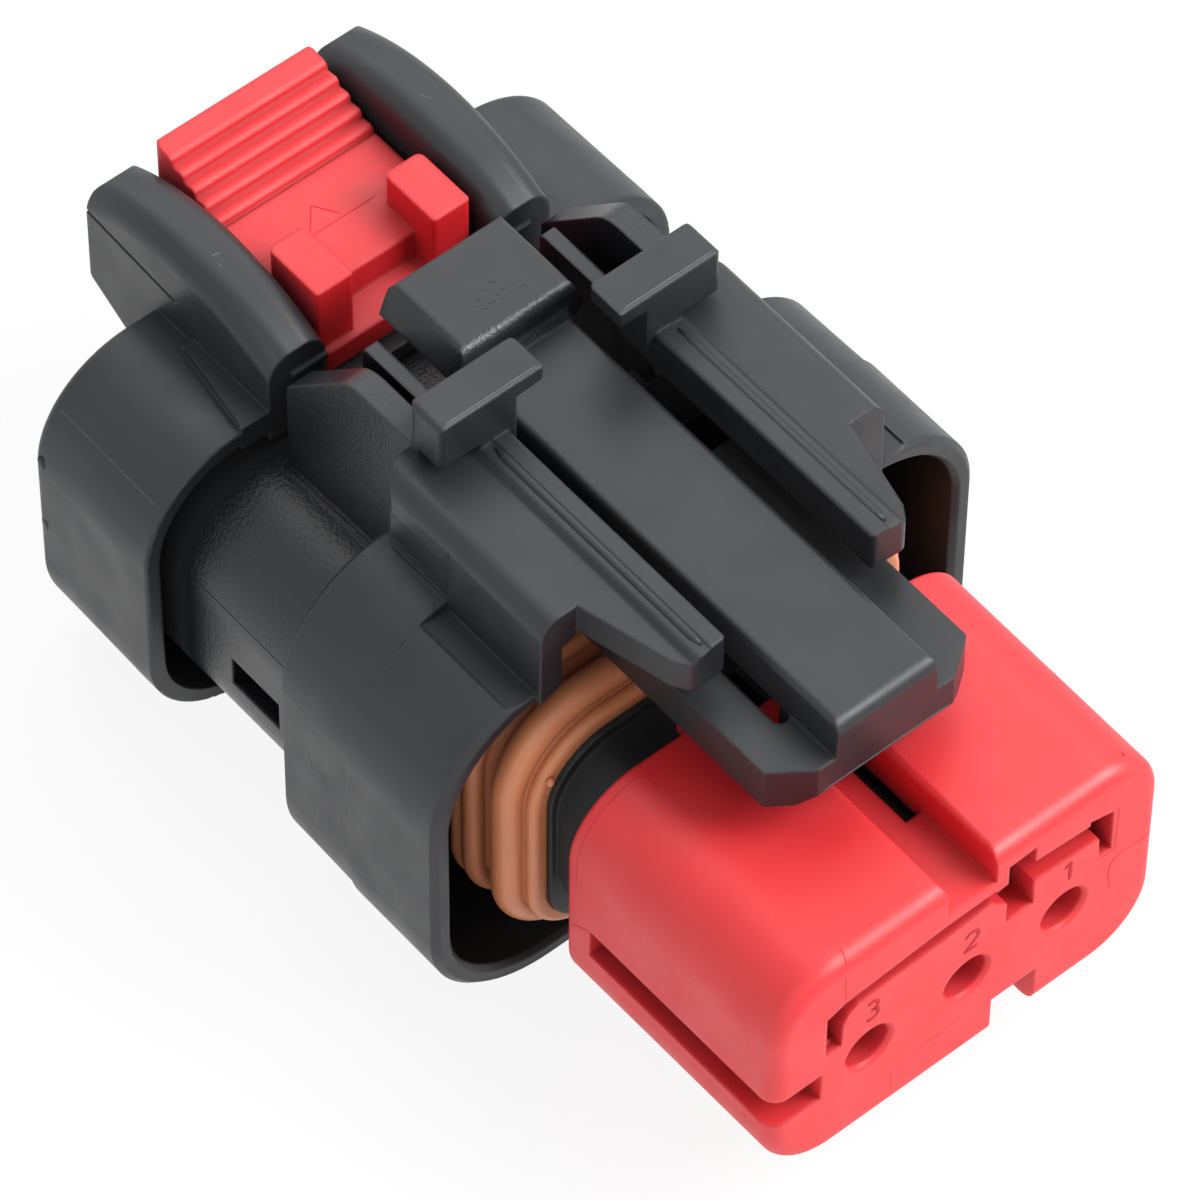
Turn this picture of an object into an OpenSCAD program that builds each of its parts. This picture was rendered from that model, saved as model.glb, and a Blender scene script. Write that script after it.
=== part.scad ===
// Sealed three-way automotive plug, single row, with a latch lever, a red
// terminal lock at the nose and a red lever lock at the rear.
// +Z is up, the nose points to -Y, and the plug rests on its underside.

/* [Contact row] */
// Number of contact cavities, side by side
ways = 3; // [3:3]
// Distance between neighbouring cavities
pitch = 6; // [5.9:0.05:6.1]
// Height of the contact row above the underside
row_z = 10.1; // [10:0.05:10.2]
// Radius of the pin holes in the nose
pin_r = 1.3; // [1.2:0.05:1.4]
// Radius of the wire holes in the rear cap
wire_r = 1.7; // [1.5:0.05:1.8]

/* [Stations along the plug] */
// Overall length, nose face to the tail of the guards
overall_l = 54.4; // [54.4:0.1:55]
// Front rim of the shroud
shroud_y = 18.6; // [18.5:0.05:18.7]
// Back face of the shroud
shroud_back_y = 30.3; // [30.2:0.05:30.4]
// Front rim of the rear cap
cap_y = 40.5; // [40.4:0.05:40.6]
// Back face of the rear cap
cap_back_y = 49.3; // [49.2:0.05:49.4]

/* [Cross-section] */
// Height of the centre of the shroud, nose and core
mid_z = 11.2; // [11.15:0.05:11.25]
// Outside half-width of the shroud
shroud_hw = 16.6; // [16.5:0.05:16.7]
// Outside half-width of the rear cap
cap_hw = 16.3; // [16.2:0.05:16.4]
// Height of the rear cap
cap_z = 19.5; // [19.4:0.05:19.6]
// Outside half-width of the red nose
nose_hw = 11.85; // [11.8:0.05:11.9]
// Outside half-height of the red nose
nose_hh = 7.3; // [7.25:0.05:7.35]
// Half-width of the core under the seal
core_hw = 10.2; // [10.15:0.05:10.25]

/* [Latch] */
// Height of the canopy plates beside the lever
canopy_z = 27; // [26.9:0.05:27.1]
// Height of the lever's beam
beam_z = 25.8; // [25.7:0.05:25.9]
// Station of the torsion bars that the lever rocks on
pivot_y = 22.4; // [22:0.1:22.8]

/* [Hidden] */
$fn = 64;

black = "#2b2c2f";
red = "#d0202c";
silicone = "#c98a66";

shroud_wall = 1.15;
shroud_r = 7;
shroud_step_y = 25;
nose_r = 3.8;
nose_len = 14.5;
nose_wall = 1.35;
nose_top = mid_z + nose_hh + 0.1;
bank_r = 0.5;
core_hh = nose_hh - nose_wall - 0.25;
core_r = 3.4;
core_y = 5;
land_hw = core_hw + 0.3;
land_hh = 6.75;
land_zc = mid_z - 0.45;
land_rt = 3.6;
land_rb = 3.1;
land_y = 17.4;
body_hw = 14.2;
body_z0 = 1.7;
body_z1 = 16.9;
body_end_y = 46.8;
pocket_y = 41;
pocket_hw = 10.8;
pocket_hh = 4.2;

// ---------------------------------------------------------------- helpers

// Puts the middle of the plug at y = 0, measured from the nose face.
module placed() translate([0, -overall_l / 2, 0]) children();

// Sweeps an x-z outline from station y0 to station y1.
module along_y(y0, y1)
    translate([0, y1, 0]) rotate([90, 0, 0]) linear_extrude(y1 - y0) children();

// Sweeps a y-z outline from x0 to x1.
module along_x(x0, x1)
    translate([x0, 0, 0]) rotate([90, 0, 90]) linear_extrude(x1 - x0) children();

// Sweeps an x-y outline from z0 to z1.
module along_z(z0, z1)
    translate([0, 0, z0]) linear_extrude(z1 - z0) children();

module both_sides() {
    children();
    mirror([1, 0, 0]) children();
}

module box(x0, x1, y0, y1, z0, z1)
    translate([x0, y0, z0]) cube([x1 - x0, y1 - y0, z1 - z0]);

function unit(v) = v / norm(v);

// Polygon with counter-clockwise corners [x, y, r]; a convex corner with
// r > 0 is rounded by a true arc.
module rounded_poly(corners) {
    n = len(corners);
    at = [for (c = corners) [c[0], c[1]]];
    to_prev = [for (i = [0 : n - 1]) unit(at[(i + n - 1) % n] - at[i])];
    to_next = [for (i = [0 : n - 1]) unit(at[(i + 1) % n] - at[i])];
    half = [for (i = [0 : n - 1]) acos(to_prev[i] * to_next[i]) / 2];
    polygon([for (i = [0 : n - 1]) let (r = corners[i][2])
        each r > 0
            ? [at[i] + to_prev[i] * r / tan(half[i]), at[i] + to_next[i] * r / tan(half[i])]
            : [at[i]]]);
    for (i = [0 : n - 1])
        if (corners[i][2] > 0)
            translate(at[i] + unit(to_prev[i] + to_next[i]) * corners[i][2] / sin(half[i]))
                circle(corners[i][2]);
}

// Rounded rectangle between two heights, with its own top and bottom radii.
module rounded(hw, z0, z1, r_top, r_bot)
    rounded_poly([[-hw, z0, r_bot], [hw, z0, r_bot], [hw, z1, r_top], [-hw, z1, r_top]]);

// Rounded rectangle centred on the height of the core.
module ring_outline(hw, hh, r) rounded(hw, mid_z - hh, mid_z + hh, r, r);

// Sweeps a section round a rounded rectangle centred on height zc, with top
// corners of radius rt and bottom ones of rb: the section's x is the distance
// outward from the rectangle and its y is the station.
module ring_sweep(hw, hh, rt, rb, zc = mid_z) translate([0, 0, zc]) rotate([-90, 0, 0]) {
    both_sides() {
        translate([hw - rb, hh - rb, 0]) rotate_extrude(angle = 90) translate([rb, 0]) children();
        translate([hw - rt, rt - hh, 0]) rotate(-90) rotate_extrude(angle = 90) translate([rt, 0]) children();
        translate([hw, hh - rb, 0]) rotate([90, 0, 0]) linear_extrude(2 * hh - rt - rb) children();
    }
    rotate(90) translate([hh, hw - rb, 0]) rotate([90, 0, 0]) linear_extrude(2 * (hw - rb)) children();
    rotate(-90) translate([hh, hw - rt, 0]) rotate([90, 0, 0]) linear_extrude(2 * (hw - rt)) children();
}

module at_ways() for (i = [0 : ways - 1])
    translate([(i - (ways - 1) / 2) * pitch, 0, row_z]) children();

// Round hole along the plug at each cavity, r0 in front and r1 behind.
module way_holes(r0, y0, y1, r1 = 0) at_ways()
    translate([0, y1, 0]) rotate([90, 0, 0])
        cylinder(r1 = r1 > 0 ? r1 : r0, r2 = r0, h = y1 - y0);

// ---------------------------------------------------------------- housing

// Wall of the shroud: chamfered rim, a fine step, then a slight taper.
module shroud_section() polygon([
    [-0.9, shroud_y], [-0.3, shroud_y], [0, shroud_y + 0.3],
    [0, shroud_step_y], [-0.1, shroud_step_y], [-0.2, shroud_back_y - 0.3],
    [-0.5, shroud_back_y], [-shroud_wall - 1, shroud_back_y],
    [-shroud_wall - 0.35, 28.9], [-shroud_wall, 23], [-shroud_wall, shroud_y + 0.3]]);

// Open-fronted shroud round the seal, its roof cut away under the canopy.
module shroud() {
    difference() {
        ring_sweep(shroud_hw, mid_z, shroud_r, shroud_r) shroud_section();
        along_y(shroud_y - 1, 28.9) polygon([
            [-9.1, 30], [-9.1, 22], [-11.2, 20.9], [-11.2, 15.2], [11.2, 15.2], [11.2, 20.9], [9.1, 22], [9.1, 30]]);
        both_sides() box(10.25, 12.05, shroud_y - 1, shroud_step_y + 0.1, 21.85, 30);
    }
    along_y(28.9, shroud_back_y) ring_outline(shroud_hw - 1, mid_z - 1, shroud_r - 1);
}

// Core with its narrow nose, the seal's land and the body behind the shroud.
module core() {
    difference() {
        along_y(core_y, land_y + 1) ring_outline(core_hw, core_hh, core_r);
        box(-2.7, 2.7, core_y - 1, land_y, row_z + 4.6, 20);
        both_sides() box(core_hw - 0.7, core_hw + 1, 15.2, 17.1, 4.9, 8.4);
    }
    box(0.6, 1.3, core_y + 0.6, land_y + 0.5, row_z + 4, row_z + 5.35);
    along_y(land_y, 29) rounded(land_hw, land_zc - land_hh, land_zc + land_hh, land_rt, land_rb);
    along_y(shroud_back_y - 1, body_end_y) rounded(body_hw, body_z0, body_z1, 5.5, 4.8);
}

// Half of the canopy's section: side wall, roof plate and inner rail.
module canopy_section() rounded_poly([
    [4.36, 25.1, 0], [9.1, 25.1, 0], [9.1, 21.8, 0], [10.4, 21.2, 0], [10.3, canopy_z, 1.2],
    [6.35, canopy_z, 0], [6.05, canopy_z + 0.35, 0.35], [5.36, canopy_z + 0.42, 0],
    [5.3, canopy_z + 0.5, 0], [4.36, canopy_z + 0.5, 0.2]]);

// Half of the canopy's outline from above, with its swept-back front.
module canopy_plan() rounded_poly([
    [4.36, 12.5, 0.3], [6.35, 12.4, 0.5], [6.95, 13.3, 0], [8.2, 18.4, 0], [10.45, 18.4, 0.15],
    [10.45, 30.3, 1.8], [4.36, 30.3, 0]]);

// The front corner of the opening under the canopy, seen from the side.
module canopy_side() rounded_poly([
    [12, 24.9, 0], [18.4, 24.9, 0], [18.4, 17, 0], [31, 17, 0], [31, 28, 0], [12, 28, 0]]);

module canopy() both_sides() difference() {
    intersection() {
        along_y(12, 31) canopy_section();
        along_z(18, 28) canopy_plan();
        along_x(4, 11) canopy_side();
    }
    box(10.15, 11, shroud_step_y, 31, 22.6, 24.8);
}

// Blocks that hang over the beam and stop it from being pulled up.
module stop_blocks() both_sides() intersection() {
    along_y(27.9, 30.3) rounded_poly([
        [2.3, 29.6, 0], [3.9, 29.5, 0], [3.9, 26.5, 0], [6.05, 26.5, 0], [6.05, 27.7, 0],
        [8.4, 27.7, 0], [8.4, 30.5, 0.35], [2.3, 30.5, 0]]);
    along_z(26, 31) rounded_poly([[2.3, 27.9, 0.1], [8.4, 27.9, 0.3], [8.4, 30.3, 0.6], [2.3, 30.3, 0.5]]);
    along_x(2, 9) rounded_poly([[27.9, 26, 0], [30.3, 26, 0], [30.3, 30.5, 0.3], [27.9, 30.5, 0.15]]);
}

// Side view of a wall beside the thumb pad, ramped down at the back.
module ramped_wall(top, back) rounded_poly([
    [29.5, 15, 0], [back, 15, 0], [back, top - 4.9, 0.8], [34.6, top, 2.2], [29.5, top, 0]]);

module thumb_walls() both_sides() {
    along_x(7.05, 8.45) ramped_wall(27.7, 39.3);
    along_x(7.05, 8.75) rounded_poly([[29.5, 15, 0], [39.5, 15, 0], [39.5, 16.9, 0.3], [29.5, 17.3, 0]]);
    along_x(4.95, 5.75) rounded_poly([[29.5, 15, 0], [36.9, 15, 0], [36.9, 25.9, 0.3], [29.5, 25.9, 0]]);
}

module housing() color(black) placed() difference() {
    union() {
        shroud();
        core();
        canopy();
        stop_blocks();
        thumb_walls();
    }
    way_holes(1.75, core_y - 1, pocket_y + 1);
    along_y(pocket_y, body_end_y + 1)
        rounded(pocket_hw, row_z - pocket_hh, row_z + pocket_hh, 3.6, 3.6);
    both_sides() box(body_hw - 1, body_hw + 1, 33.2, 36.8, 7, 9);
}

// ---------------------------------------------------------------- lever

// Section of the beam and its side view, crossed to round both ways.
module beam() intersection() {
    along_y(6, 34) rounded_poly([[-3.05, 23.4, 0], [-3.15, 20.9, 0], [3.15, 20.9, 0], [3.05, 23.4, 0],
        [2.95, beam_z, 0.35], [-2.95, beam_z, 0.35]]);
    along_x(-4, 4) rounded_poly([[6.9, 20.9, 0], [9, 20.9, 0], [9.4, 23.5, 0], [34, 23.5, 0],
        [34, beam_z, 0], [6.3, beam_z, 0.7], [6.3, 21.5, 0]]);
}

// Nose plate and its two arms, with a bevel along the lower front edge.
module lever_plate() difference() {
    along_z(20.9, 23.5) both_sides() rounded_poly([
        [0, 6.3, 0], [4.1, 6.3, 0.2], [6.1, 7.75, 0.3], [6.1, 23.3, 0.4],
        [3, 23.3, 0], [3, 10.3, 0], [0, 10.3, 0]]);
    both_sides() {
        box(3, 3.88, 9.75, 21.5, 20, 24);
        translate([3.44, 9.75, 20]) cylinder(r = 0.44, h = 4);
    }
    along_x(-7, 7) polygon([[6, 20], [7, 20.8], [6.3, 21.5], [6, 21.5]]);
}

// Thumb pad at the rear end of the beam.
module thumb_pad() intersection() {
    along_y(32, 38) rounded_poly([[-3.5, 25.5, 0], [3.5, 25.5, 0], [3.95, 26, 0], [3.25, 27.8, 0.4],
        [-3.25, 27.8, 0.4], [-3.95, 26, 0]]);
    along_x(-4, 4) rounded_poly([[33.6, 25.5, 0], [37.9, 25.5, 0.3], [37.9, 27.8, 0.5],
        [32.4, 27.8, 0.6], [32.4, 25.5, 0]]);
}

module latch_lever() color(black) placed() {
    beam();
    lever_plate();
    thumb_pad();
    along_x(-2.95, 2.95) polygon([[31.9, 25.5], [32.5, 26.6], [33.5, 26.6], [34.6, 25.6], [33.9, 23.5], [32, 23.5]]);
    both_sides() translate([2.9, pivot_y, 22.4]) rotate([0, 90, 0]) cylinder(r = 0.85, h = 6.15);
}

// ---------------------------------------------------------------- seals

module interface_seal() color(silicone) placed() ring_sweep(land_hw + 0.03, land_hh + 0.03, land_rt + 0.03, land_rb + 0.03, land_zc) {
    polygon([[0, 17.7], [0.5, 17.7], [0.75, 18], [0.75, 18.9], [0.6, 20.6], [0.9, 21.2], [0.9, 22.8],
             [0.6, 23.3], [0, 23.3]]);
    translate([0.45, 18.1]) circle(0.4);
    translate([0.95, 19.4]) circle(0.85);
    translate([1.25, 21.6]) circle(0.55);
    translate([1.2, 22.6]) circle(0.5);
}

module wire_seal() color(silicone) placed() difference() {
    zc = row_z;
    union() {
        along_y(pocket_y + 0.4, body_end_y - 0.5)
            rounded(pocket_hw - 0.5, zc - pocket_hh + 0.5, zc + pocket_hh - 0.5, 3.1, 3.1);
        ring_sweep(pocket_hw - 0.5, pocket_hh - 0.5, 3.1, 3.1, zc) for (y = [42.2, 43.9, 45.4])
            translate([0, y]) circle(0.45);
    }
    way_holes(1.2, pocket_y, body_end_y);
}

// ---------------------------------------------------------------- rear cap

guard_r = 15.15;
guard_x0 = 5.15;
guard_x1 = 8.6;

// Wheel with a rounded rim: its top is the domed crest of a guard.
module guard_wheel() {
    w = guard_x1 - guard_x0;
    translate([guard_x0, 47.4, 24.85 - guard_r]) rotate([0, 90, 0]) rotate_extrude($fn = 180)
        rounded_poly([[0, 0, 0], [guard_r, 0, 1.3], [guard_r, w, 1.3], [0, w, 0]]);
}

module guards() both_sides() difference() {
    intersection() {
        guard_wheel();
        along_x(0, 12) rounded_poly([[cap_y, 17.6, 0], [cap_back_y - 2, 17.6, 0], [cap_back_y - 0.5, 13.6, 0],
            [overall_l, 16.9, 0.4], [overall_l, 22.9, 0.7], [overall_l - 1.2, 24.6, 0], [overall_l - 1.4, 30, 0], [cap_y, 30, 0]]);
    }
    // the parting step along the outside of the guard
    along_x(guard_x1 - 0.12, guard_x1 + 1)
        polygon([[47.6, 21.2], [overall_l + 1, 21.75], [overall_l + 1, 21.95], [47.6, 21.4]]);
}

// Side wall of the cap: front rim, slight taper and a rounded rear edge.
module cap_section() rounded_poly([
    [-1.6, cap_y + 4.5, 0], [-0.95, cap_y + 4.5, 0], [-0.85, cap_y, 0], [0, cap_y, 0.15],
    [0, cap_y + 1.5, 0], [-0.1, cap_back_y, 0.5], [-1.6, cap_back_y, 0]]);

module rear_cap() color(black) placed() {
    zc = cap_z / 2;
    difference() {
        union() {
            ring_sweep(cap_hw, zc, 6, 6, zc) cap_section();
            along_y(cap_y + 4.5, cap_back_y) rounded(cap_hw - 1.5, 1.5, cap_z - 1.5, 4.5, 4.5);
            box(-guard_x0 - 0.7, guard_x0 + 0.7, cap_y, cap_y + 5, 17.5, 18.4);
            both_sides() along_z(cap_z - 1.2, cap_z + 0.3)
                polygon([[8.4, 40.5], [10.3, 40.5], [9.4, 46.3], [8.4, 46.3]]);
        }
        along_y(44, 47.2) rounded(body_hw + 0.05, body_z0 - 0.05, body_z1 + 0.05, 5.45, 4.75);
        box(-guard_x0, guard_x0, cap_y - 1, 51, 18.4, 21);
        both_sides() box(guard_x0 - 1, 5.75, 39, 56, 19, 20.4);
        way_holes(wire_r, 46, 51);
        way_holes(wire_r, 48.6, cap_back_y + 0.05, wire_r + 0.6);
    }
    difference() {
        guards();
        both_sides() box(guard_x0 - 1, 5.75, 39, 56, 19, 20.4);
    }
    both_sides() box(guard_x0, 7.3, cap_y - 0.22, cap_y + 0.1, 21.5, 21.75);
    box(-guard_x0 - 1, guard_x0 + 1, cap_back_y - 1, 52.6, 17.4, 18.4);
}

// ---------------------------------------------------------------- locks

// Wall of the nose: rounded front edge and a slight taper.
module nose_section() rounded_poly([
    [-nose_wall, 0, 0], [0, 0, 0.9], [0.1, nose_len, 0.15], [-nose_wall, nose_len, 0]]);

// Slits and key pockets that run through the front wall.
module nose_slits() translate([0, 0, row_z]) along_y(-1, 3) {
    polygon([[-8.7, 1.85], [-7.75, 1.85], [-7.7, 3.4], [-7.4, 4.05], [-6.8, 4.4], [-1.8, 4.6], [1.5, 4.95],
             [1.5, 5.7], [-1.5, 5.65], [-7.6, 5.15], [-8.7, 4.75]]);
    polygon([[1.4, 5.5], [1.4, 4.75], [2.25, 4], [2.25, 2.5], [3.95, 2.5], [3.9, 4.25], [7.95, 4],
             [8.05, 2.55], [8.8, 2.5], [8.75, 5.5], [7.3, 5.9], [7.3, 5.6], [3.9, 5.9], [3.9, 7], [2.25, 6.9],
             [2.25, 5.6]]);
}

// Red nose that slides back over the core and holds the contacts in.
module terminal_lock() color(red) placed() difference() {
    union() {
        ring_sweep(nose_hw, nose_hh, nose_r, nose_r) nose_section();
        along_y(0, 1.6) ring_outline(nose_hw - 1, nose_hh - 1, nose_r - 1);
        box(-2.4, 2.4, 1.4, nose_len, row_z + 5.7, row_z + 7.3);
        both_sides() box(2.6, 4.6, nose_len - 1, nose_len + 1, mid_z + core_hh + 0.35, mid_z + nose_hh - 0.1);
    }
    way_holes(pin_r, -1, 3);
    way_holes(pin_r + 0.25, -0.05, 0.2, pin_r);
    // channel along the top, its floor slit over the rib of the core
    along_y(-1, nose_len + 1) difference() {
        union() {
            translate([-1.5, row_z + 6.4]) square([3, 4]);
            translate([-1.5 - bank_r, nose_top - bank_r]) square([3 + 2 * bank_r, 3]);
        }
        for (x = [-1, 1]) translate([x * (1.5 + bank_r), nose_top - bank_r]) circle(bank_r);
    }
    box(0.5, 1.5, 5.2, nose_len + 1, row_z + 5, 20);
    box(1.7, 4.45, -1, nose_len + 1, 3, row_z - 3.35);
    box(-nose_hw - 1, -8.9, -1, 12.9, row_z - 1.45, row_z + 0.5);
    nose_slits();
}

ridge_n = 5;
ridge_pitch = 0.87;
ridge_rise = 0.38;
ridge_y = 49.05;

// Side view of the lever lock, with the stepped thumb grip at its back.
module cpa_side() polygon(concat(
    [[54.06, 19.6], [54.06, 24.15], [53.9, 24.35]],
    [for (i = [ridge_n - 1 : -1 : 0]) let (y = ridge_y + i * ridge_pitch, z = 22.3 + i * ridge_rise)
        each [[y + 0.25, z + ridge_rise], [y + 0.1, z + ridge_rise - 0.12], [y, z - 0.12]]],
    [[ridge_y - 0.1, 22.3], [46, 22.3], [43.2, 22.05], [43.1, 20.4], [41.3, 20], [41.3, 18.6], [53, 18.6]]));

module lever_lock() color(red) placed() difference() {
    union() {
        intersection() {
            along_x(-4.75, 4.75) cpa_side();
            along_z(18, 25) rounded_poly([[-4.75, 41.3, 0.4], [4.75, 41.3, 0.4], [4.75, 54.06, 0.5], [-4.75, 54.06, 0.5]]);
        }
        both_sides() along_z(20, 24.25)
            rounded_poly([[2.45, 41.7, 0.15], [4.65, 41.7, 0.15], [4.65, 45.45, 0.4], [2.45, 45.45, 0.3]]);
        both_sides() box(4.7, 5.55, 45, 53, 19.2, 20.2);
    }
    box(-3.4, 3.4, 44.6, 52.8, 18, 20.8);
}

housing();
latch_lever();
interface_seal();
wire_seal();
rear_cap();
terminal_lock();
lever_lock();
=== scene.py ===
import math
import random

import bpy
from mathutils import Matrix, Vector
from mathutils.bvhtree import BVHTree


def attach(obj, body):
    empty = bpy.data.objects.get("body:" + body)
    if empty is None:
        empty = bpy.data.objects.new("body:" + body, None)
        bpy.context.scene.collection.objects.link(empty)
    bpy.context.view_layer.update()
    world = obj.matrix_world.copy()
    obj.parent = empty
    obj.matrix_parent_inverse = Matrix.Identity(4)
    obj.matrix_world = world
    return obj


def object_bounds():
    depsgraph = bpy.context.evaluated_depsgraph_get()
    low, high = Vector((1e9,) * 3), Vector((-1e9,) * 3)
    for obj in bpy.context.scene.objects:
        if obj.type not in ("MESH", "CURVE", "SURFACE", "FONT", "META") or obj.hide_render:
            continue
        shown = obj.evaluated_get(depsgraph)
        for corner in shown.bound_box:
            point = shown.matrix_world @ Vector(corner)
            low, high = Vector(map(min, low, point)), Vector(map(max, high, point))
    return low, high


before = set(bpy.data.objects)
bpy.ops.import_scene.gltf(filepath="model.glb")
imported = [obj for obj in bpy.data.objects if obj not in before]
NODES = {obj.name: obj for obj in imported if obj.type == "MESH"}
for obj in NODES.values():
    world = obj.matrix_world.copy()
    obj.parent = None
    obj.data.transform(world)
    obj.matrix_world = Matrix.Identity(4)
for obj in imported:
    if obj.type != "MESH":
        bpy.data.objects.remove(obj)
cad_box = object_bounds()

# Looks and fine detail of a sealed three-way plug, laid on its CAD model. Places on the
# plug are in millimetres: x to the right seen from in front, y counted back from the
# nose face, z up from the underside. The scene itself is in metres.

MM = 0.001
NOSE_Y = cad_box[0][1]      # the nose face, station 0

BACK, DOWN = (0, 1, 0), (0, 0, -1)      # ways in which lines are laid on a surface
BODY_OF = {"housing": "plug", "rear_cap": "plug", "interface_seal": "plug",
           "latch_lever": "lever", "terminal_lock": "nose", "lever_lock": "lever_guard"}


def place(x, y, z):
    """Point of the scene for millimetres on the plug."""
    return Vector((x * MM, NOSE_Y + y * MM, z * MM))


def grey(v):
    return (v, v, v, 1)


# --------------------------------------------------------------- materials

class Tree:
    """Short ways to add and link the nodes of one material."""

    def __init__(self, name):
        self.mat = bpy.data.materials.new(name)
        self.mat.use_nodes = True
        self.nodes = self.mat.node_tree.nodes
        self.links = self.mat.node_tree.links
        self.shader = self.nodes["Principled BSDF"]

    def add(self, kind, **values):
        node = self.nodes.new(kind)
        for key, value in values.items():
            setattr(node, key, value)
        return node

    def put(self, node, **values):
        """Sets inputs by name, with _ for a space."""
        for key, value in values.items():
            node.inputs[key.replace("_", " ")].default_value = value
        return node

    def link(self, a, b):
        self.links.new(a, b)

    def where(self):
        return self.add("ShaderNodeTexCoord").outputs["Object"]

    def noise(self, scale, detail=3.0, rough=0.5):
        node = self.put(self.add("ShaderNodeTexNoise"), Scale=scale, Detail=detail,
                        Roughness=rough)
        self.link(self.where(), node.inputs["Vector"])
        return node.outputs[0]

    def ramp(self, source, low, high):
        """Colour ramp between two stops, each a place and a colour."""
        node = self.add("ShaderNodeValToRGB")
        for stop, (at, colour) in zip(node.color_ramp.elements, (low, high)):
            stop.position = at
            stop.color = colour
        self.link(source, node.inputs[0])
        return node.outputs[0]

    def math(self, kind, a, b):
        node = self.add("ShaderNodeMath", operation=kind)
        for socket, value in zip(node.inputs, (a, b)):
            if isinstance(value, (int, float)):
                socket.default_value = value
            else:
                self.link(value, socket)
        return node.outputs[0]

    def mix(self, factor, a, b):
        """Colour a where factor is 0, and b where it is 1."""
        node = self.add("ShaderNodeMix", data_type="RGBA")
        sockets = node.inputs[0], node.inputs[6], node.inputs[7]    # factor and colours
        for socket, value in zip(sockets, (factor, a, b)):
            if isinstance(value, tuple):
                socket.default_value = value
            else:
                self.link(value, socket)
        return node.outputs[2]

    def bump(self, height, below, distance, strength=None):
        """Relief of one height map over the normal below it."""
        node = self.put(self.add("ShaderNodeBump"), Distance=distance * MM)
        if isinstance(strength, float):
            node.inputs["Strength"].default_value = strength
        else:
            self.link(strength, node.inputs["Strength"])
        self.link(height, node.inputs["Height"])
        self.link(below, node.inputs["Normal"])
        return node.outputs[0]

    def band(self, start, stop, soft=0.6):
        """1 between two stations and 0 elsewhere, with soft ends."""
        split = self.add("ShaderNodeSeparateXYZ")
        self.link(self.where(), split.inputs[0])
        sides = []
        for edge, sign in ((start, 1), (stop, -1)):
            node = self.add("ShaderNodeMapRange", interpolation_type="SMOOTHSTEP")
            at = NOSE_Y + edge * MM
            node.inputs["From Min"].default_value = at - sign * soft * MM
            node.inputs["From Max"].default_value = at + sign * soft * MM
            self.link(split.outputs["Y"], node.inputs["Value"])
            sides.append(node.outputs["Result"])
        return self.math("MULTIPLY", *sides)


def moulded(name, low, high, rough, grain=0.05, edge=0.22, worn=None, painted_shade=None, band=None):
    """Moulded plastic: faint cloudiness in colour and gloss, fine grain, softened edges.

    worn is the colour of rubbed edges. The colour for crevices is painted shade: it is mixed
    in where ambient occlusion finds a crevice, which is also made rougher. band is two
    stations between which the surface has a coarse, shiny texture.
    """
    t = Tree(name)
    colour = t.ramp(t.noise(140, 4), (0.3, low), (0.7, high))
    soft_edge = t.put(t.add("ShaderNodeBevel", samples=4), Radius=edge * MM).outputs[0]
    gloss = t.ramp(t.noise(420, 3), (0.3, grey(rough - 0.05)), (0.7, grey(rough + 0.06)))
    if worn:
        turn = t.add("ShaderNodeVectorMath", operation="DOT_PRODUCT")
        t.link(soft_edge, turn.inputs[0])
        t.link(t.add("ShaderNodeNewGeometry").outputs["Normal"], turn.inputs[1])
        rubbed = t.ramp(turn.outputs["Value"], (0.80, grey(0.9)), (0.985, grey(0)))
        patchy = t.ramp(t.noise(900, 3), (0.42, grey(0)), (0.62, grey(1)))
        colour = t.mix(t.math("MULTIPLY", rubbed, patchy), colour, worn)
    # Painted shade: crevices found by ambient occlusion get a darker base colour, standing in
    # for the shade that falls there; their gloss is also made rougher.
    if painted_shade:
        shade = t.put(t.add("ShaderNodeAmbientOcclusion", samples=4), Distance=3 * MM)
        crevice = t.ramp(shade.outputs["AO"], (0.22, grey(1)), (0.86, grey(0)))
        colour = t.mix(crevice, colour, painted_shade)
        gloss = t.mix(crevice, gloss, grey(0.85))
    normal = t.bump(t.noise(2600, 2), soft_edge, distance=0.05, strength=grain)
    if band:
        area = t.band(*band)
        normal = t.bump(t.noise(5200, 2.5, 0.6), normal, distance=0.06,
                        strength=t.math("MULTIPLY", area, 0.6))
        gloss = t.mix(area, gloss, grey(rough - 0.09))
    t.link(colour, t.shader.inputs["Base Color"])
    t.link(gloss, t.shader.inputs["Roughness"])
    t.link(normal, t.shader.inputs["Normal"])
    return t


def scored(name, low, high, rough):
    """Finish of hairlines and small marks, which are too thin for a softened edge."""
    t = Tree(name)
    t.link(t.ramp(t.noise(1600, 3), (0.35, low), (0.65, high)), t.shader.inputs["Base Color"])
    t.put(t.shader, Roughness=rough)
    return t.mat


def paint(node, mat):
    for slot in NODES[node].material_slots:
        slot.material = mat


# ------------------------------------------------------- camera and studio

def camera():
    """Long lens above the front left corner of the plug."""
    azimuth, elevation, roll = (math.radians(v) for v in (-40.48, 53.215, 0.63))
    stand = Vector((-154.69, -182.02, 330.85)) * MM
    back = Vector((math.sin(azimuth) * math.cos(elevation),
                   -math.cos(azimuth) * math.cos(elevation), math.sin(elevation)))
    right = Vector((math.cos(azimuth), math.sin(azimuth), 0))
    up = back.cross(right)
    right, up = (math.cos(roll) * right + math.sin(roll) * up,
                 math.cos(roll) * up - math.sin(roll) * right)
    data = bpy.data.cameras.new("camera")
    data.sensor_width = 36
    data.lens = 251.37
    data.clip_start = 0.01
    obj = bpy.data.objects.new("camera", data)
    turn = Matrix((right, up, back)).transposed().to_4x4()
    obj.matrix_world = Matrix.Translation(stand) @ turn
    bpy.context.collection.objects.link(obj)
    bpy.context.scene.camera = obj


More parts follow.
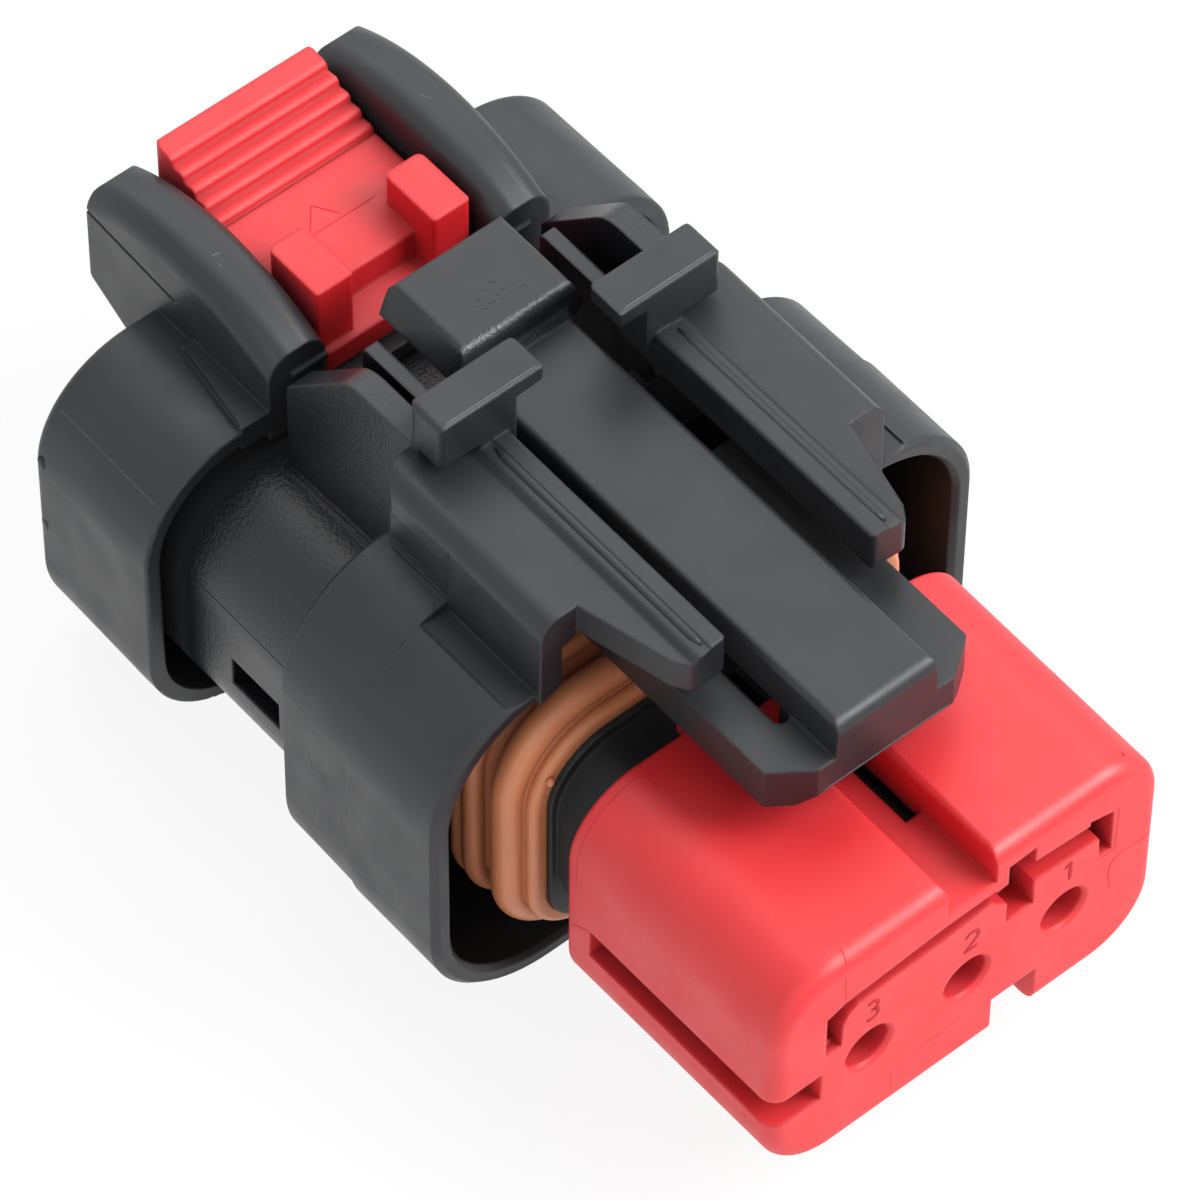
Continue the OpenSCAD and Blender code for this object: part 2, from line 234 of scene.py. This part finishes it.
def seen_directly(nodes, links):
    """1 for rays that show the backdrop: from the camera, off a gloss or through."""
    path = nodes.new("ShaderNodeLightPath")
    total = path.outputs["Is Camera Ray"]
    for kind in ("Is Glossy Ray", "Is Transmission Ray"):
        both = nodes.new("ShaderNodeMath")
        both.operation = "MAXIMUM"
        links.new(total, both.inputs[0])
        links.new(path.outputs[kind], both.inputs[1])
        total = both.outputs[0]
    return total


def backdrop():
    """World that lights softly and shows as plain white."""
    world = bpy.data.worlds.new("world")
    world.use_nodes = True
    bpy.context.scene.world = world
    nodes, links = world.node_tree.nodes, world.node_tree.links
    soft = nodes["Background"]
    white = nodes.new("ShaderNodeBackground")
    for shader, strength in ((soft, 0.62), (white, 1.0)):
        shader.inputs["Color"].default_value = grey(1)
        shader.inputs["Strength"].default_value = strength
    mix = nodes.new("ShaderNodeMixShader")
    links.new(seen_directly(nodes, links), mix.inputs[0])
    links.new(soft.outputs[0], mix.inputs[1])
    links.new(white.outputs[0], mix.inputs[2])
    links.new(mix.outputs[0], nodes["World Output"].inputs[0])


def lamp(name, at, size, power):
    """Square softbox turned towards the middle of the plug."""
    data = bpy.data.lights.new(name, "AREA")
    data.size = size
    data.energy = power
    obj = bpy.data.objects.new(name, data)
    obj.location = at
    aim = Vector((0, 0, 0.012)) - Vector(at)
    obj.rotation_euler = aim.to_track_quat("-Z", "Y").to_euler()
    bpy.context.collection.objects.link(obj)


def lay_floor():
    """Pale floor that shows as nearly white and keeps a faint shadow."""
    bpy.ops.mesh.primitive_plane_add(size=2, location=(0, 0, 0))
    floor = bpy.context.object
    floor.name = "floor"
    t = Tree("floor")
    t.put(t.shader, Roughness=0.9)
    t.shader.inputs["Base Color"].default_value = grey(0.86)
    glow = t.put(t.add("ShaderNodeEmission"), Strength=1.0)
    glow.inputs["Color"].default_value = grey(1)
    mix = t.add("ShaderNodeMixShader")
    t.link(t.math("MULTIPLY", seen_directly(t.nodes, t.links), 0.88), mix.inputs[0])
    t.link(t.shader.outputs[0], mix.inputs[1])
    t.link(glow.outputs[0], mix.inputs[2])
    t.link(mix.outputs[0], t.nodes["Material Output"].inputs[0])
    floor.data.materials.append(t.mat)


def studio():
    bpy.context.scene.view_settings.view_transform = "Standard"
    backdrop()
    lamp("key", at=(0.30, -0.28, 0.37), size=0.30, power=3.7)
    lamp("fill", at=(-0.34, -0.22, 0.30), size=0.40, power=0.4)
    lamp("rear", at=(0.20, 0.24, 0.42), size=0.60, power=1.4)
    lay_floor()


# ------------------------------------------------------------- fine detail

SURFACES = {}


def walk(points, step):
    """Points along a chain, about one step apart."""
    chain = [points[0]]
    for a, b in zip(points, points[1:]):
        parts = max(1, round((Vector(b) - Vector(a)).length / step))
        chain += [tuple(Vector(a).lerp(Vector(b), k / parts)) for k in range(1, parts + 1)]
    return chain


def meet(node, point, toward, reach=6):
    """Place and outward normal where a node lies along one way through a point."""
    if node not in SURFACES:
        mesh = NODES[node].data
        SURFACES[node] = BVHTree.FromPolygons([v.co for v in mesh.vertices],
                                              [p.vertices[:] for p in mesh.polygons])
    toward = Vector(toward).normalized()
    start = place(*point) - toward * reach * MM
    at, normal, _, _ = SURFACES[node].ray_cast(start, toward, 2 * reach * MM)
    if at is None:
        return []
    return [(at, normal if normal.dot(toward) < 0 else -normal)]


def finish(name, verts, faces, mat, node):
    mesh = bpy.data.meshes.new(name)
    mesh.from_pydata([tuple(v) for v in verts], [], faces)
    mesh.materials.append(mat)
    for p in mesh.polygons:
        p.use_smooth = True
    obj = bpy.data.objects.new(name, mesh)
    bpy.context.collection.objects.link(obj)
    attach(obj, BODY_OF[node])


# Section of a ridge: parts of its width and rise, sunk below the surface at both ends.
SECTION = ((-0.5, -1), (-0.5, 0), (-0.22, 0.85), (0.22, 0.85), (0.5, 0), (0.5, -1))
TIP = 0.35      # size of the section at either tip


def add_ridge(verts, faces, path, width, rise):
    """Low rounded ridge along a path of places and normals."""
    if len(path) < 2:
        return
    base, last, sides = len(verts), len(path) - 1, len(SECTION)
    for k, (at, normal) in enumerate(path):
        along = (path[min(k + 1, last)][0] - path[max(k - 1, 0)][0]).normalized()
        across = along.cross(normal).normalized()
        size = TIP if k in (0, last) else 1
        for u, v in SECTION:
            verts.append(at + across * u * width * size * MM + normal * v * rise * size * MM)
    for k in range(last):
        for j in range(sides):
            a, b = base + k * sides + j, base + k * sides + (j + 1) % sides
            faces.append((a, b, b + sides, a + sides))
    faces.append(tuple(base + j for j in reversed(range(sides))))
    faces.append(tuple(base + last * sides + j for j in range(sides)))


def lines(name, node, chains, toward, mat, width=0.09, rise=0.02, step=0.25):
    """Ridges along chains of points, laid on a node along one way."""
    verts, faces = [], []
    for chain in chains:
        path = [hit for p in walk(chain, step) for hit in meet(node, p, toward)]
        add_ridge(verts, faces, path, width, rise)
    finish(name, verts, faces, mat, node)


def wrapped_line(name, node, rays, mat, width, rise):
    """Ridge round a node, through where rays of a point and a way meet it."""
    verts, faces = [], []
    path = [hit for point, toward in rays for hit in meet(node, point, toward)]
    add_ridge(verts, faces, path, width, rise)
    finish(name, verts, faces, mat, node)


def nub(name, node, at, size, mat, rough=0.0, seed=1, rings=8, around=14):
    """Small rounded lump, closed, a little uneven."""
    dice = random.Random(seed)
    verts, faces = [place(at[0], at[1], at[2] + size[2])], []
    for k in range(1, rings):
        lat = math.pi * k / rings
        for j in range(around):
            lon = 2 * math.pi * j / around
            r = 1 + rough * (dice.random() - 0.5)
            verts.append(place(at[0] + size[0] * r * math.sin(lat) * math.cos(lon),
                               at[1] + size[1] * r * math.sin(lat) * math.sin(lon),
                               at[2] + size[2] * r * math.cos(lat)))
    verts.append(place(at[0], at[1], at[2] - size[2]))
    end = len(verts) - 1
    for j in range(around):
        n = (j + 1) % around
        faces.append((0, 1 + j, 1 + n))
        faces.append((end, end - around + n, end - around + j))
        for k in range(rings - 2):
            a = 1 + k * around
            faces.append((a + j, a + around + j, a + around + n, a + n))
    finish(name, verts, faces, mat, node)


def arc(cx, cz, r, start, stop, parts=9):
    """Points of x and z on an arc between two angles in degrees."""
    angles = [math.radians(start + (stop - start) * k / parts) for k in range(parts + 1)]
    return [(cx + r * math.cos(a), cz + r * math.sin(a)) for a in angles]


# -------------------------------------------------------- marks on the nose

STROKES = {
    "1": [[(-0.36, 0.48), (0.02, 0.68), (0.02, -0.68)]],
    "2": [arc(0, 0.27, 0.4, 165, -35) + [(-0.4, -0.66), (0.44, -0.66)]],
    "3": [arc(-0.02, 0.33, 0.35, 140, -90) + arc(-0.02, -0.31, 0.38, 90, -145)]}


def cavity_numbers(mat, first=6.2, pitch=6.05, height=13.1):
    """Cavity numbers 1 to 3 over the pin holes, with cavity 1 on the right."""
    for k, (digit, chains) in enumerate(STROKES.items()):
        x = first - pitch * k
        drawn = [[(x + u, 0, height + v) for u, v in chain] for chain in chains]
        lines("cavity_number_" + digit, "terminal_lock", drawn, BACK, mat,
              width=0.24, rise=0.03, step=0.1)


def nose_lines(mat):
    """Flow and parting lines of the red nose."""
    def face_lines(name, *chains, width, **sizes):
        placed = [[(x, 0, z) for x, z in chain] for chain in chains]
        lines(name, "terminal_lock", placed, BACK, mat, width=width, **sizes)

    face_lines("nose_face_line", [
        (11.6, 11.45), (10.7, 11.5), (9.3, 11.65), (8.85, 11.25), (8.75, 10.5), (8.95, 9.2)],
        width=0.10)
    face_lines("nose_pocket_line", [(9.1, 15.6), (9.05, 12.4), (8.1, 12.35)], width=0.06)
    face_lines("nose_faint_lines", [(-3.1, 7.1), (-1.8, 7.0), (-0.2, 7.15)],
               [(-4.45, 5.4), (-4.5, 6.8)], width=0.05, rise=0.012)
    face_lines("nose_gate_line", [(-7.6, 15.5), (-7.7, 17.5)], width=0.06)
    lines("nose_gate_line_top", "terminal_lock", [
        [(-7.6, 0.12, 17.9), (-7.4, 0.6, 18.4), (-7.35, 0.9, 18.5)]],
        (0, 0.5, -0.87), mat, width=0.06, step=0.1)
    lines("nose_side_line", "terminal_lock", [
        [(-11.9, 12.95, 10.55), (-11.9, 13.6, 10.2), (-11.9, 14.2, 9.8)]],
        (1, 0, 0), mat, width=0.05)

    # The line just ahead of the rear rim: up the left side, over the corner and forward.
    rim_y, middle = 13.9, (-4, 11)
    corner = arc(-8.05, 14.7, 3.8, 175, 95, 12)
    rays = [((x, rim_y, z), (middle[0] - x, 0, middle[1] - z))
            for x, z in [(-11.85, 13.0), (-11.85, 14.2)] + corner]
    rays += [(p, DOWN) for p in walk([(-8.0, 13.6, 18.5), (-7.9, 12.7, 18.5)], 0.25)]
    wrapped_line("nose_rim_line", "terminal_lock", rays, mat, width=0.07, rise=0.015)


# -------------------------------------------- marks on the other mouldings

LOCK_TOP, BLOCK_TOP = 22.3, 30.5         # heights that lines are laid down from
SHROUD_SIDE = 16.6                      # half width of the shroud
CORNER_X, CORNER_Z = 9.6, 15.4          # middle of the shroud's upper corner
CORNER_R = SHROUD_SIDE - CORNER_X


def lock_lines(mat):
    """Outlined triangle and crease on the lever lock."""
    lines("lock_arrow", "lever_lock", [
        [(-1.5, 46.15, LOCK_TOP), (-0.45, 47.45, LOCK_TOP), (0.35, 46.15, LOCK_TOP)]],
        DOWN, mat, width=0.08)
    lines("lock_crease", "lever_lock", [
        [(-2.3, 45.95, LOCK_TOP), (2.3, 45.95, LOCK_TOP)]], DOWN, mat, width=0.07)


def guard_marks(light):
    top = 25
    lines("guard_marks", "rear_cap", [
        [(-7.4, 46.4, top), (-6.75, 46.3, top)], [(-7.3, 46.0, top), (-7.2, 45.6, top)],
        [(6.5, 47.9, top), (6.9, 47.2, top)]], DOWN, light, width=0.07, rise=0.01)


def shroud_step(side):
    """Rays round the shroud from the canopy's foot down one side, at its step."""
    y, flat_z = 25.05, 22.2
    outline = [(10.3, 22.4), (11.4, 22.3)]
    outline += arc(CORNER_X, CORNER_Z, CORNER_R, 70, 0, 7)
    outline += [(SHROUD_SIDE, z) for z in (12, 9, 7.2)]
    rays = []
    for x, z in outline:
        inward = DOWN if z > flat_z else (side * (CORNER_X - x), 0, min(z, CORNER_Z) - z)
        rays.append(((side * x, y, z), inward))
    return rays


def side_lines(side, name, dark, light, skin):
    """Parting lines, flash and rail of one side of the plug."""
    # The light lines drawn here, the cap's parting line and the blocks' flash, are painted
    # highlights on thin edges; the dark ones, the body's parting line and the shroud's step,
    # are painted shade along creases.
    lines("cap_parting_" + name, "rear_cap", [
        [(side * 14.95, 48.7, 17.2), (side * 15.0, 41.0, 17.2)]],
        (-side * 0.8, 0, -0.6), light, width=0.04, rise=0.008, step=0.5)
    lines("body_parting_" + name, "housing", [
        [(side * 14.2, 39.8, 12.35), (side * 14.2, 30.9, 12.35)]],
        (-side, 0, 0), dark, width=0.09, rise=0.015, step=0.5)
    lines("block_flash_" + name, "housing", [
        [(side * x, 28.12, BLOCK_TOP) for x in (2.5, 4, 5.5, 7, 8.1)]],
        DOWN, light, width=0.07, rise=0.02)
    lines("rail_flash_" + name, "housing", [
        [(side * 5.5, 27.5, 27.6), (side * 5.5, 12.9, 27.6)]],
        DOWN, skin, width=0.5, rise=0.13, step=0.6)
    wrapped_line("shroud_step_line_" + name, "housing", shroud_step(side), dark,
                 width=0.10, rise=0.02)


def scuffs(dark, faint):
    """Rubbed marks on the thumb pad and on the shroud's left side."""
    dice = random.Random(7)
    pad_top = 27.8
    marks = []
    for _ in range(10):
        x, y = dice.uniform(-1.4, 1.2), dice.uniform(33.8, 35.0)
        marks.append([(x, y, pad_top),
                      (x + dice.uniform(0.2, 0.5), y - dice.uniform(0.1, 0.2), pad_top)])
    lines("pad_marks", "latch_lever", marks, DOWN, dark, width=0.05, rise=0.006, step=0.15)

    def rub(count, ys, zs, drift, drop):
        for _ in range(count):
            y, z = dice.uniform(*ys), dice.uniform(*zs)
            yield [(-SHROUD_SIDE, y, z),
                   (-SHROUD_SIDE, y + dice.uniform(*drift), z - dice.uniform(*drop))]

    rubs = list(rub(9, ys=(25.6, 28.0), zs=(9.4, 11.0), drift=(-0.1, 0.1), drop=(1, 3)))
    rubs += rub(11, ys=(26.9, 28.6), zs=(11.4, 13.0), drift=(-0.5, -1), drop=(0.9, 1.3))
    lines("shroud_rub_marks", "housing", rubs, (1, 0, 0), faint,
          width=0.055, rise=0.006, step=0.2)


def moulding_marks(dark, light, faint, red_line, skin):
    lock_lines(red_line)
    guard_marks(light)
    for side, name in ((-1, "left"), (1, "right")):
        side_lines(side, name, dark, light, skin)
    # Painted shade: a broad dark line on the rear cap's left side, standing in for a band of
    # shade.
    lines("cap_wedge_line", "rear_cap", [[(-9.35, 46.5, 19.5), (-10.25, 40.7, 19.5)]],
          DOWN, dark, width=0.22, rise=0.02, step=0.5)
    # Painted highlight: a light line across the lever's front face, standing in for a thin
    # edge catching light.
    lines("lever_front_line", "latch_lever", [[(-4.0, 6.3, 21.62), (4.0, 6.3, 21.62)]],
          BACK, light, width=0.07, step=0.5)
    scuffs(dark, faint)
    for k, (y, z, tall) in enumerate(((48.7, 13.9, 0.55), (48.7, 9.2, 0.4))):
        nub(f"cap_nib_{k + 1}", "rear_cap", (-16.14, y, z), (0.13, 0.3, tall), skin,
            rough=0.35, seed=k + 3)


# --------------------------------------------------------------- the scene

camera()
studio()

# In each table below, the last colour is painted shade, mixed into crevices found by ambient
# occlusion.
BLACK = {"low": (0.0085, 0.0098, 0.0125, 1), "high": (0.0125, 0.0142, 0.0175, 1),
         "worn": (0.030, 0.032, 0.036, 1), "painted_shade": (0.003, 0.003, 0.004, 1)}
RED = {"low": (0.59, 0.007, 0.012, 1), "high": (0.65, 0.010, 0.016, 1),
       "painted_shade": (0.38, 0.0, 0.005, 1)}
SILICONE = {"low": (0.58, 0.205, 0.088, 1), "high": (0.66, 0.25, 0.118, 1),
            "painted_shade": (0.42, 0.125, 0.046, 1)}

black = moulded("black_moulding", rough=0.41, **BLACK)
body_black = moulded("black_textured", rough=0.41, band=(31.5, 40.3), **BLACK)
lever_black = moulded("black_lever", rough=0.40, band=(32.0, 33.0, 0.25), **BLACK)
red = moulded("red_moulding", rough=0.49, edge=0.28, **RED)
lock_red = moulded("red_lock", rough=0.49, edge=0.32, **RED)
for t in (red, lock_red):
    t.put(t.shader, Subsurface_Weight=0.35, Subsurface_Scale=0.002, Specular_IOR_Level=0.76)
rubber = moulded("silicone", rough=0.38, grain=0.08, **SILICONE)
rubber.put(rubber.shader, Subsurface_Weight=0.30, Subsurface_Scale=0.0008)
# Painted shade: the cavity numbers are coloured a darker red than the nose, standing in for
# the shade of their relief.
dark_red = scored("red_numeral_shade", (0.33, 0.0, 0.004, 1), (0.43, 0.0, 0.006, 1), 0.8)
line_red = scored("red_line", (0.56, 0.003, 0.010, 1), (0.66, 0.008, 0.016, 1), 0.7)
# Partly painted shade: this near-black draws the body's parting lines, the shroud's step and
# the rear cap's wedge line, standing in for the shade in creases; it also draws the real
# scuffs on the thumb pad.
dark_black = scored("black_shade_and_scuff", (0.002, 0.002, 0.003, 1), (0.004, 0.004, 0.005, 1), 0.8)
# Partly painted highlight: this lighter black draws the flash and parting lines on the stop
# blocks, rear cap and lever front, standing in for thin edges catching light; it also draws
# rubbed scratches on the guards.
light_black = scored("black_rubbed_and_highlight", (0.05, 0.053, 0.058, 1), (0.09, 0.094, 0.10, 1), 0.45)
faint_black = scored("black_scuffed", (0.017, 0.019, 0.022, 1), (0.030, 0.032, 0.037, 1), 0.43)

for node, tree in {"housing": body_black, "rear_cap": black, "latch_lever": lever_black,
                   "terminal_lock": red, "lever_lock": lock_red,
                   "interface_seal": rubber, "wire_seal": rubber}.items():
    paint(node, tree.mat)

cavity_numbers(dark_red)
nose_lines(line_red)
moulding_marks(dark_black, light_black, faint_black, line_red, black.mat)
nub("seal_nub", "interface_seal", (-10.42, 17.62, 16.1), (0.22, 0.22, 0.26), rubber.mat,
    rough=0.1)
nub("nose_pocket_nub", "terminal_lock", (-8.22, 0.55, 12.0), (0.34, 0.14, 0.24), red.mat)
nub("nose_nick", "terminal_lock", (10.0, 0.95, 17.93), (0.10, 0.14, 0.08), red.mat, rough=0.3)
